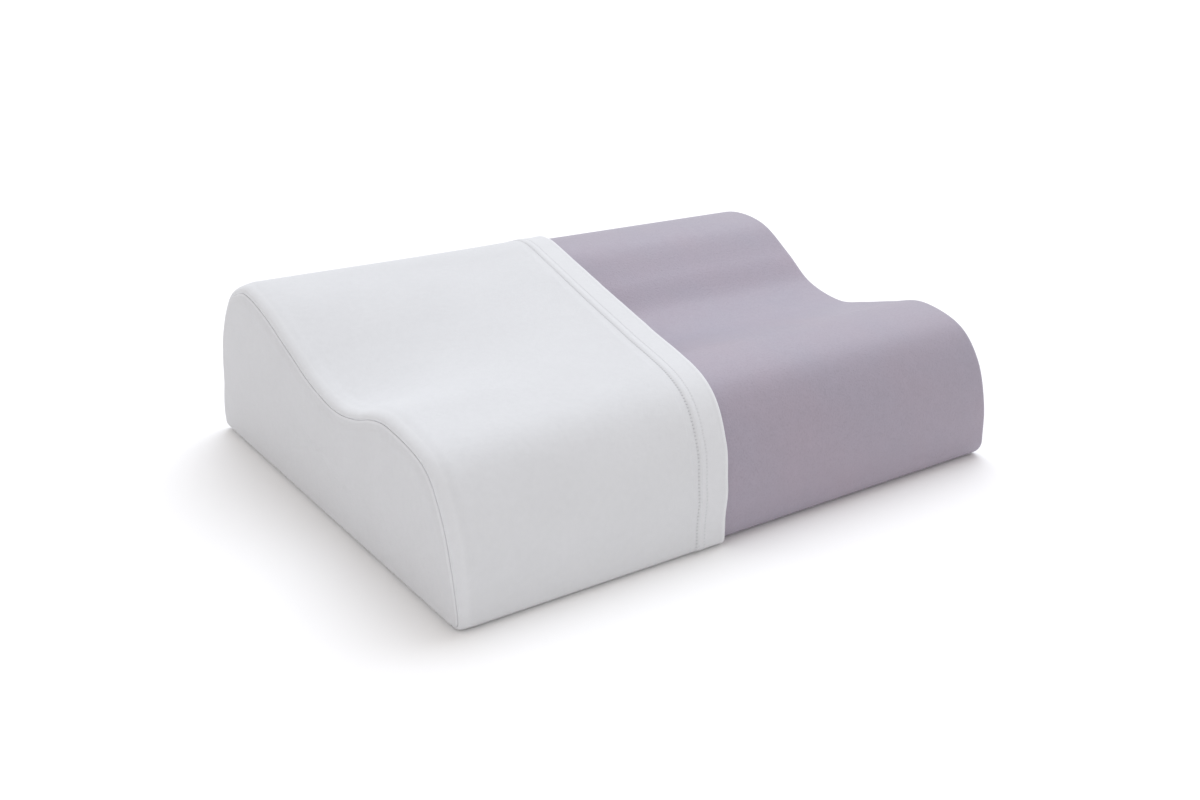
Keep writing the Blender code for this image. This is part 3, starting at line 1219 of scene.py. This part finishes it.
@dataclass
class EndPanel:
    """The contour-shaped panel that closes the sleeve's end."""

    column_count: int = 400
    face_rows: int = 26
    round_rows: int = 9
    inside_rows: int = 10
    least_share: float = 0.05
    flare: float = 0.0001
    round_from: float = math.radians(9)
    inside_from: float = math.radians(4)
    lip: tuple = ((3.0, 0.0006), (1.4, 0.0012), (0.4, 0.0018), (0.15, 0.00232),
                  (0.7, 0.00262), (2.0, 0.00276), (5.0, 0.00280))
    thickness: float = 0.0016
    # Painted light on the lip rows in the seam's groove.
    lip_painted_light: float = 0.08

    def build(self, fullness: SleeveFullness, finish: bpy.types.Material) -> bpy.types.Object:
        """Makes the panel.

        Args:
            fullness: how the sleeve stands off between its seams.
            finish: its material.

        Returns:
            The finished piece.
        """
        columns = even_columns(self.column_count)
        outer, seam, square = FORM.covered_end_radius + FORM.wrap_out, FORM.seam_angle, math.pi / 2
        turned = [(seam + math.radians(past), FORM.covered_end_radius + rise)
                  for past, rise in self.lip]
        turned += [(angle, outer + self.flare * (square - angle))
                   for angle in np.linspace(seam + self.round_from, square, self.round_rows)]
        outside = [FORM.cover_end_loop(angle, radius, columns) for angle, radius in turned]
        shares = np.linspace(1.0, self.least_share, self.face_rows)[1:]
        outside += drawn_in(outside[-1], shares)
        rim = fullness.rim_station
        stations = [rim * (angle - seam) / (square - seam) for angle, _ in turned]
        stations += list(np.interp(shares, [fullness.least_share, 1.0], [-1.0, rim]))
        inside = [FORM.cover_end_loop(angle, outer - self.thickness, columns)
                  for angle in np.linspace(square, seam + self.inside_from, 4)]
        skin = Skin("end_panel_knit", columns)
        for loop in drawn_in(inside[0], np.linspace(0.06, 1.0, self.inside_rows)) + inside[1:]:
            skin.add(loop)
        for row, (loop, station) in enumerate(zip(outside, stations)):
            loop[:, 0] -= fullness.at(station, columns)
            # Painted light: the lip rows in the seam's groove are painted lighter, to lift the
            # groove's shade.
            skin.add(loop, painted_shading=1 + self.lip_painted_light * (row < len(self.lip)))
        piece = skin.build(Ends.POLES, finish)
        return settle(piece, "cover_end_panel", Body.COVER)


@dataclass
class HemBand:
    """The turned hem: two needle rows with a soft ridge between, a band and a rolled rim."""

    stitch_count: int = 412
    columns_per_stitch: int = 5
    gauge: float = 0.0064
    outer_row: float = 0.0187
    fold_rise: float = 0.00330
    ridge: float = 0.00022
    inner_groove: float = 0.00006
    outer_groove: float = 0.00004
    hole: float = 0.00040
    hole_share: float = 0.16
    row_width: float = 0.0006
    outer_prick: float = 0.45
    ridge_puff: float = 0.00010
    ridge_pinch: float = 0.00008
    wobble: float = 0.00012
    edge_sway: float = 0.00035
    wobbles: tuple = ((90, 11), (26, 12), (60, 13))
    # Painted shade in the needle holes, a painted highlight on the rim and painted light on the
    # folded band.
    prick_painted_shade: float = 0.34
    rim_painted_highlight: float = 0.09
    fold_painted_light: float = 0.03
    beside_needle: tuple = (0.0024, 0.0017, 0.0011, 0.0007, 0.0004)
    rim: tuple = (
        (0.0046, 0.0033), (0.0037, 0.00339), (0.0030, 0.00353), (0.0023, 0.00362),
        (0.0017, 0.00365), (0.0011, 0.00355), (0.0006, 0.00325), (0.0002, 0.00275),
        (0.0, 0.00215), (0.0001, 0.0015), (0.0006, 0.0008), (0.0014, 0.0004),
    )

    @property
    def inner_row(self) -> float:
        """The needle row nearer to the body of the sleeve, back from the free edge."""
        return self.outer_row + self.gauge

    def columns(self, count: int, start: float = 0.0) -> np.ndarray:
        """Shares of the loop's length that are evenly spaced along the slanting hem.

        Args:
            count: how many.
            start: where the first one lies, in spaces.

        Returns:
            The shares.
        """
        fine = np.linspace(0.0, 1.0, 4001)
        line = FORM.hem_loop(self.inner_row, FORM.wrap_out, FORM.wrap_out, fine)
        steps = np.linalg.norm(np.diff(line, axis=0), axis=1)
        reach = np.concatenate([[0.0], np.cumsum(steps)])
        return np.interp((np.arange(count) + start) / count * reach[-1], reach, fine)

    def rise(self, back: float) -> float:
        """Height of the outer face above the foam.

        Args:
            back: distance from the free edge.

        Returns:
            The height, without the stitches' own dimples.
        """
        folded = eased(limited((self.inner_row + 0.0010 - back) / 0.0036))
        height = FORM.wrap_out + (self.fold_rise - FORM.wrap_out) * folded
        height += self.ridge * bell(back - (self.inner_row + self.outer_row) / 2, 0.0015)
        height -= self.inner_groove * bell(back - self.inner_row, 0.0005)
        return height - self.outer_groove * bell(back - self.outer_row, 0.0006)

    def outer_section(self) -> list[tuple[float, float]]:
        """Section of the outer face, from the body of the sleeve to the free edge.

        Returns:
            (back, rise) of each loop.
        """
        inner, outer, near = self.inner_row, self.outer_row, np.array(self.beside_needle)
        steps = [FORM.hem_join, *(inner + near[1:]), inner, *(inner - near[::-1]),
                 (inner + outer) / 2, *(outer + near), outer, *(outer - near[:0:-1]),
                 *np.linspace(outer - 0.0032, 0.0060, 6)]
        return [(back, self.rise(back)) for back in steps] + list(self.rim)

    def inner_section(self) -> list[tuple[float, float]]:
        """Section of the inner face, from the free edge back to the body.

        Returns:
            (back, rise) of each loop.
        """
        raw, low = self.inner_row + 0.0022, FORM.gap
        return [(0.0060, low), (0.0130, low), (self.outer_row - 0.0030, low),
                (self.outer_row, 0.0006), (self.inner_row, 0.0006), (raw, low),
                (raw + 0.0002, 0.0011), (FORM.hem_join, 0.0012)]

    def build(self, finish: bpy.types.Material) -> bpy.types.Object:
        """Makes the hem.

        Args:
            finish: its material.

        Returns:
            The finished piece.
        """
        count = self.stitch_count * self.columns_per_stitch
        columns = self.columns(count)
        in_stitch = (np.arange(count) % self.columns_per_stitch) / self.columns_per_stitch
        at_hole = bell(np.minimum(in_stitch, 1 - in_stitch), self.hole_share)
        puff, sway, roll = (soft_noise(count, waves, seed) for waves, seed in self.wobbles)
        skin = Skin("hem_band_knit", columns)
        for back, rise in self.outer_section() + self.inner_section():
            floor = max(min(rise, FORM.hem_out), FORM.wrap_out)
            loop = FORM.hem_loop(back, rise, floor, columns)
            painted_shading = np.ones(count)
            if rise > 0.0016:
                up = (FORM.hem_loop(back, rise + 0.001, floor, columns) - loop) / 0.001
                prick = at_hole * (bell(back - self.inner_row, self.row_width)
                                   + self.outer_prick * bell(back - self.outer_row, self.row_width))
                ridge = bell(back - self.inner_row + self.gauge / 2, 0.0016)
                band, rim = bell(back - 0.011, 0.005), bell(back - 0.0015, 0.0015)
                folded = limited((self.inner_row - back) / 0.002)
                # Painted light and shade: a painted highlight along the rolled rim, painted light
                # on the folded band and painted shade in the needle holes.
                painted_shading += self.rim_painted_highlight * rim + self.fold_painted_light * folded - self.prick_painted_shade * prick
                move = (ridge * (self.ridge_puff * puff - self.ridge_pinch * at_hole)
                        - self.hole * prick + self.wobble * (band * sway + rim * roll))
                loop = loop + up * move[:, None]
            loop[:, 0] += bell(back, 0.006) * (self.edge_sway * sway + self.wobble * roll)
            loop[:, 2] = np.maximum(loop[:, 2], 0.0)
            skin.add(loop, FORM.wrap_run + FORM.hem_join - back, painted_shading)
        piece = skin.build(Ends.HOLLOW, finish)
        return settle(piece, "cover_hem_band", Body.COVER)


# ---- stitching -----------------------------------------------------------------------------
TURNS_PER_METRE = 900.0


def stitch_row_tree() -> bpy.types.NodeTree:
    """Stitches laid along a guide line, each one an arched length of thread.

    Returns:
        The Geometry Nodes tree.
    """
    tree = bpy.data.node_groups.new("stitch row", "GeometryNodeTree")
    face = tree.interface
    face.new_socket(name="Guide", in_out="INPUT", socket_type="NodeSocketGeometry")
    for name in ("Pitch", "Stitch length", "Thread radius", "Arch", "Sink", "Slant", "Wander"):
        face.new_socket(name=name, in_out="INPUT", socket_type="NodeSocketFloat")
    face.new_socket(name="Seed", in_out="INPUT", socket_type="NodeSocketInt")
    face.new_socket(name="Thread", in_out="INPUT", socket_type="NodeSocketMaterial")
    face.new_socket(name="Stitches", in_out="OUTPUT", socket_type="NodeSocketGeometry")
    bench = NodeBench(tree)
    size, made = bench.add("NodeGroupInput").outputs, bench.add("NodeGroupOutput")

    def point(x: object, z: object) -> bpy.types.NodeSocket:
        """A point in the stitch's own upright plane."""
        return bench.add("ShaderNodeCombineXYZ", {"X": x, "Z": z}).outputs[0]

    def remembered(curve: bpy.types.NodeSocket, measure: str) -> bpy.types.NodeOutputs:
        """Makes a curve keep how far along it each point is.

        Args:
            curve: the curve.
            measure: which output of the spline's parameter to keep.

        Returns:
            The curve as "Geometry" and the measure as "Place".
        """
        kept = bench.add("GeometryNodeCaptureAttribute", {"Geometry": curve})
        kept.capture_items.new("FLOAT", "Place")
        bench.feed(kept, {"Place": bench.add("GeometryNodeSplineParameter").outputs[measure]})
        return kept.outputs

    half = bench.maths("MULTIPLY", size["Stitch length"], 0.5)
    below = bench.maths("MULTIPLY", size["Sink"], -1.0)
    arc = bench.add("GeometryNodeCurveQuadraticBezier", {
        "Resolution": 7, "Start": point(bench.maths("MULTIPLY", half, -1.0), below),
        "Middle": point(0.0, bench.maths("MULTIPLY", size["Arch"], 2.0)),
        "End": point(half, below),
    })
    ring = bench.add("GeometryNodeCurvePrimitiveCircle",
                     {"Resolution": 6, "Radius": size["Thread radius"]})
    turned = bench.add("GeometryNodeTransform", {"Geometry": ring.outputs[0],
                                                 "Rotation": (0.0, 0.0, -math.pi / 2)})
    along = remembered(arc.outputs[0], "Length")
    around = remembered(turned.outputs[0], "Factor")
    tube = bench.add("GeometryNodeCurveToMesh",
                     {"Curve": along["Geometry"], "Profile Curve": around["Geometry"],
                      "Fill Caps": True})
    twist = bench.maths("MULTIPLY_ADD", along["Place"], TURNS_PER_METRE, around["Place"])
    named = bench.add("GeometryNodeStoreNamedAttribute",
                      {"Geometry": tube.outputs[0], "Name": TWIST, "Value": twist},
                      data_type="FLOAT", domain="POINT")
    smooth = bench.add("GeometryNodeSetShadeSmooth", {"Geometry": named.outputs[0]})

    line = bench.add("GeometryNodeMeshToCurve", {"Mesh": size["Guide"]})
    length = bench.add("GeometryNodeCurveLength", {"Curve": line.outputs[0]})
    steps = bench.maths("ROUND", bench.maths("DIVIDE", length.outputs[0], size["Pitch"]))
    paced = bench.add("GeometryNodeResampleCurve", {"Curve": line.outputs[0], "Count": steps})
    tangent = bench.add("GeometryNodeInputTangent").outputs[0]
    outward = bench.add("GeometryNodeInputNamedAttribute", {"Name": OUTWARD},
                        data_type="FLOAT_VECTOR").outputs[0]
    ahead = bench.add("FunctionNodeAlignRotationToVector", {"Vector": tangent}, axis="X")
    upright = bench.add("FunctionNodeAlignRotationToVector",
                        {"Rotation": ahead.outputs[0], "Vector": outward},
                        axis="Z", pivot_axis="X")
    odd = bench.maths("MODULO", bench.add("GeometryNodeInputIndex").outputs[0], 2.0)
    side = bench.maths("MULTIPLY_ADD", odd, 2.0, -1.0)
    slant = bench.maths("MULTIPLY", side, size["Slant"])
    chance = bench.add("FunctionNodeRandomValue", {"Seed": size["Seed"], 2: -1.0, 3: 1.0},
                       data_type="FLOAT")
    yaw = bench.maths("MULTIPLY_ADD", chance.outputs[1], size["Wander"], slant)
    spin = bench.add("ShaderNodeCombineXYZ", {"Z": yaw})
    turn = bench.add("FunctionNodeEulerToRotation", {"Euler": spin.outputs[0]})
    posed = bench.add("FunctionNodeRotateRotation",
                      {"Rotation": upright.outputs[0], "Rotate By": turn.outputs[0]},
                      rotation_space="LOCAL")
    sown = bench.add("GeometryNodeInstanceOnPoints",
                     {"Points": paced.outputs[0], "Instance": smooth.outputs[0],
                      "Rotation": posed.outputs[0]})
    real = bench.add("GeometryNodeRealizeInstances", {"Geometry": sown.outputs[0]})
    dressed = bench.add("GeometryNodeSetMaterial",
                        {"Geometry": real.outputs[0], "Material": size["Thread"]})
    bench.feed(made, {0: dressed.outputs[0]})
    return tree


@dataclass(frozen=True)
class StitchRow:
    """One row of stitches and its sizes."""

    name: str
    node: str
    pitch: float
    stitch_length: float
    thread_radius: float = 0.00021
    arch: float = 0.00025
    sink: float = 0.00025
    slant: float = 0.0
    wander: float = math.radians(3)
    seed: int = 1

    def build(self, tree: bpy.types.NodeTree, line: np.ndarray, outward: np.ndarray, closed: bool,
              finish: bpy.types.Material) -> bpy.types.Object:
        """Sews the row along a line.

        Args:
            tree: the stitch row tree.
            line: the line's points.
            outward: the way out of the cloth at each point.
            closed: whether the line's end meets its start.
            finish: the thread's material.

        Returns:
            The finished piece.
        """
        count = len(line)
        edges = [(k, (k + 1) % count) for k in range(count if closed else count - 1)]
        mesh = bpy.data.meshes.new(self.name + "_guide")
        mesh.from_pydata(line.tolist(), edges, [])
        layer = mesh.attributes.new(OUTWARD, "FLOAT_VECTOR", "POINT")
        layer.data.foreach_set("vector", np.asarray(outward, dtype=np.float32).ravel())
        guide = linked(self.name + "_guide", mesh)
        sewing = guide.modifiers.new("stitches", "NODES")
        sewing.node_group = tree
        values = {"Pitch": self.pitch, "Stitch length": self.stitch_length,
                  "Thread radius": self.thread_radius, "Arch": self.arch, "Sink": self.sink,
                  "Slant": self.slant, "Wander": self.wander, "Seed": self.seed,
                  "Thread": finish}
        for item in tree.interface.items_tree:
            if item.in_out == "INPUT" and item.name in values:
                sewing[item.identifier] = values[item.name]
        graph = bpy.context.evaluated_depsgraph_get()
        sewn = bpy.data.meshes.new_from_object(guide.evaluated_get(graph))
        sewn.name = self.name
        guide.modifiers.remove(sewing)
        bpy.data.objects.remove(guide)
        bpy.data.meshes.remove(mesh)
        return settle(linked(self.name, sewn), self.node, Body.COVER)


@dataclass
class Stitching:
    """Every row of thread in the sleeve."""

    hem: HemBand
    wrap: WrapPanel
    guide_columns: int = 900

    def build(self, finish: bpy.types.Material) -> dict[str, bpy.types.Object]:
        """Sews all the rows.

        Args:
            finish: the thread's material.

        Returns:
            The rows by name.
        """
        tree = stitch_row_tree()
        rows = {}
        for place, back, seed in (("inner", self.hem.inner_row, 3),
                                  ("outer", self.hem.outer_row, 4)):
            line, outward = self.hem_line(back, self.hem.rise(back) + 0.00004)
            row = StitchRow(f"hem_{place}_needle_row", f"hem_needle_thread_{place}",
                            loop_length(line) / self.hem.stitch_count, 0.0020,
                            thread_radius=0.00019, arch=0.00012, seed=seed)
            rows[row.name] = row.build(tree, line, outward, True, finish)
        middle = (self.hem.inner_row + self.hem.outer_row) / 2
        looper = StitchRow("hem_looper_zigzag", "hem_looper_thread", 0.00125, 0.0066,
                           thread_radius=0.00018, arch=0.0, sink=0.0,
                           slant=math.radians(78), wander=math.radians(1.5), seed=5)
        rows[looper.name] = looper.build(tree, *self.hem_line(middle, 0.00035), True, finish)
        seam = StitchRow("end_seam_stitches", "end_seam_thread", 0.0022, 0.0015,
                         thread_radius=0.0002, arch=0.0002, sink=0.0002, seed=6)
        rows[seam.name] = seam.build(tree, *self.seam_line(), True, finish)
        closing = StitchRow("closing_seam_stitches", "closing_seam_thread", 0.0025, 0.0019,
                            seed=7)
        rows[closing.name] = closing.build(tree, *self.closing_line(), False, finish)
        return rows

    def hem_line(self, back: float, rise: float) -> tuple[np.ndarray, np.ndarray]:
        """A line round the hem that starts in the middle of a stitch.

        Args:
            back: distance from the free edge.
            rise: height above the foam.

        Returns:
            The line and the way out of the cloth along it.
        """
        stitches = self.hem.stitch_count
        columns = self.hem.columns(2 * stitches, 1.0) % 1.0
        floor = max(FORM.wrap_out, rise)
        line = FORM.hem_loop(back, rise, floor, columns)
        return line, unit(FORM.hem_loop(back, rise + 0.001, floor, columns) - line)

    def seam_line(self) -> tuple[np.ndarray, np.ndarray]:
        """The line in the end seam's groove.

        Returns:
            The line and the way out of the groove along it.
        """
        columns = even_columns(self.guide_columns)
        radius = FORM.covered_end_radius + 0.0014
        low, high = (FORM.cover_end_loop(FORM.seam_angle, radius + lift, columns)
                     for lift in (0.0, 0.001))
        return low, unit(high - low)

    def closing_line(self) -> tuple[np.ndarray, np.ndarray]:
        """The line of the wrap panel's own join.

        Returns:
            The line and the way out of the cloth along it.
        """
        column = np.array([self.wrap.closing_share])
        runs = np.linspace(0.006, FORM.wrap_run - 0.001, 90)
        low, high = (np.vstack([FORM.sleeve_loop(run, FORM.wrap_out + lift, column)
                                for run in runs]) for lift in (-0.0004, 0.0006))
        return low, unit(high - low)


# ---- studio --------------------------------------------------------------------------------
@dataclass
class Studio:
    """A plain pale floor, soft light and the camera."""

    floor_size: float = 60.0
    floor_colour: tuple = (0.96, 0.96, 0.96, 1.0)
    sky_strength: float = 0.775
    sky_colour: tuple = (1.0, 0.968, 0.955, 1.0)
    lamp: float = 1.68
    lamp_colour: tuple = (0.94, 1.0, 1.08)
    lamp_spread: float = math.radians(50)
    lamp_from: tuple = (0.43, 0.38, 0.82)
    lens: float = 36.39
    film_width: float = 36.0
    yaw: float = math.radians(34.82)
    pitch: float = math.radians(20.43)
    distance: float = 0.8825
    aim: tuple = (-0.0569, -0.0917, 0.0008)

    def build(self, low: Vector, high: Vector) -> None:
        """Sets up the studio round the object.

        Args:
            low: the lowest corner of the object's box.
            high: the highest corner of the object's box.
        """
        self.lay_floor()
        self.light()
        self.place_camera((low + high) / 2)

    def lay_floor(self) -> None:
        """A matt pale floor."""
        half = self.floor_size / 2
        mesh = bpy.data.meshes.new("floor")
        corners = [(-half, -half, 0), (half, -half, 0), (half, half, 0), (-half, half, 0)]
        mesh.from_pydata(corners, [], [(0, 1, 2, 3)])
        material, bench, shader = started("pale_floor")
        bench.feed(shader, {"Base Color": self.floor_colour, "Roughness": 1.0,
                            "Specular IOR Level": 0.0})
        mesh.materials.append(material)
        linked("floor", mesh)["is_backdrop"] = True

    def light(self) -> None:
        """An even white sky and one broad lamp above."""
        world = bpy.data.worlds.new("soft_sky")
        world.use_nodes = True
        sky = world.node_tree.nodes["Background"]
        sky.inputs["Color"].default_value = self.sky_colour
        sky.inputs["Strength"].default_value = self.sky_strength
        bpy.context.scene.world = world
        lamp = bpy.data.lights.new("broad_lamp", "SUN")
        lamp.energy = self.lamp
        lamp.color = self.lamp_colour
        lamp.angle = self.lamp_spread
        holder = linked("broad_lamp", lamp)
        holder.rotation_euler = Vector(self.lamp_from).to_track_quat("Z", "Y").to_euler()

    def place_camera(self, centre: Vector) -> None:
        """Looks at the pillow from its front left corner, a little above.

        Args:
            centre: the middle of the object's box.
        """
        camera = bpy.data.cameras.new("camera")
        camera.lens = self.lens
        camera.sensor_width = self.film_width
        camera.sensor_fit = "HORIZONTAL"
        camera.clip_start = 0.02
        holder = linked("camera", camera)
        holder.rotation_euler = Euler((math.pi / 2 - self.pitch, 0.0, -self.yaw))
        forward = Vector((math.sin(self.yaw) * math.cos(self.pitch),
                          math.cos(self.yaw) * math.cos(self.pitch), -math.sin(self.pitch)))
        holder.location = centre + Vector(self.aim) - self.distance * forward
        bpy.context.scene.camera = holder
        bpy.context.scene.view_settings.view_transform = "Standard"


def main() -> None:
    """Builds the pillow's finished look piece by piece."""
    logging.basicConfig(level=logging.INFO, format="%(message)s")
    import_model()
    cad_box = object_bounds()
    low, high = (Vector(corner) for corner in cad_box)
    Studio().build(low, high)

    groups = Groups()
    foam = FoamFinish().material(groups)
    wrap_knit = JerseyFinish("white_jersey").material(groups)
    # The end panel's jersey is painted darker than the wrap's: painted shade on the end face, which
    # turns from the lamp.
    end_knit_painted_shade = JerseyFinish("white_jersey_end", colour=(0.684, 0.690, 0.704),
                            shadow=(0.620, 0.627, 0.648)).material(groups)
    hem_knit = JerseyFinish("white_jersey_hem", wale=0.0009).material(groups)
    thread = ThreadFinish().material(groups)

    FoamCore().build(foam)
    fullness = SleeveFullness()
    wrap = WrapPanel()
    wrap_piece = wrap.build(fullness, wrap_knit)
    end_piece = EndPanel().build(fullness, end_knit_painted_shade)
    hem = HemBand()
    hem_piece = hem.build(hem_knit)
    rows = Stitching(hem, wrap).build(thread)


if __name__ == "__main__":
    main()
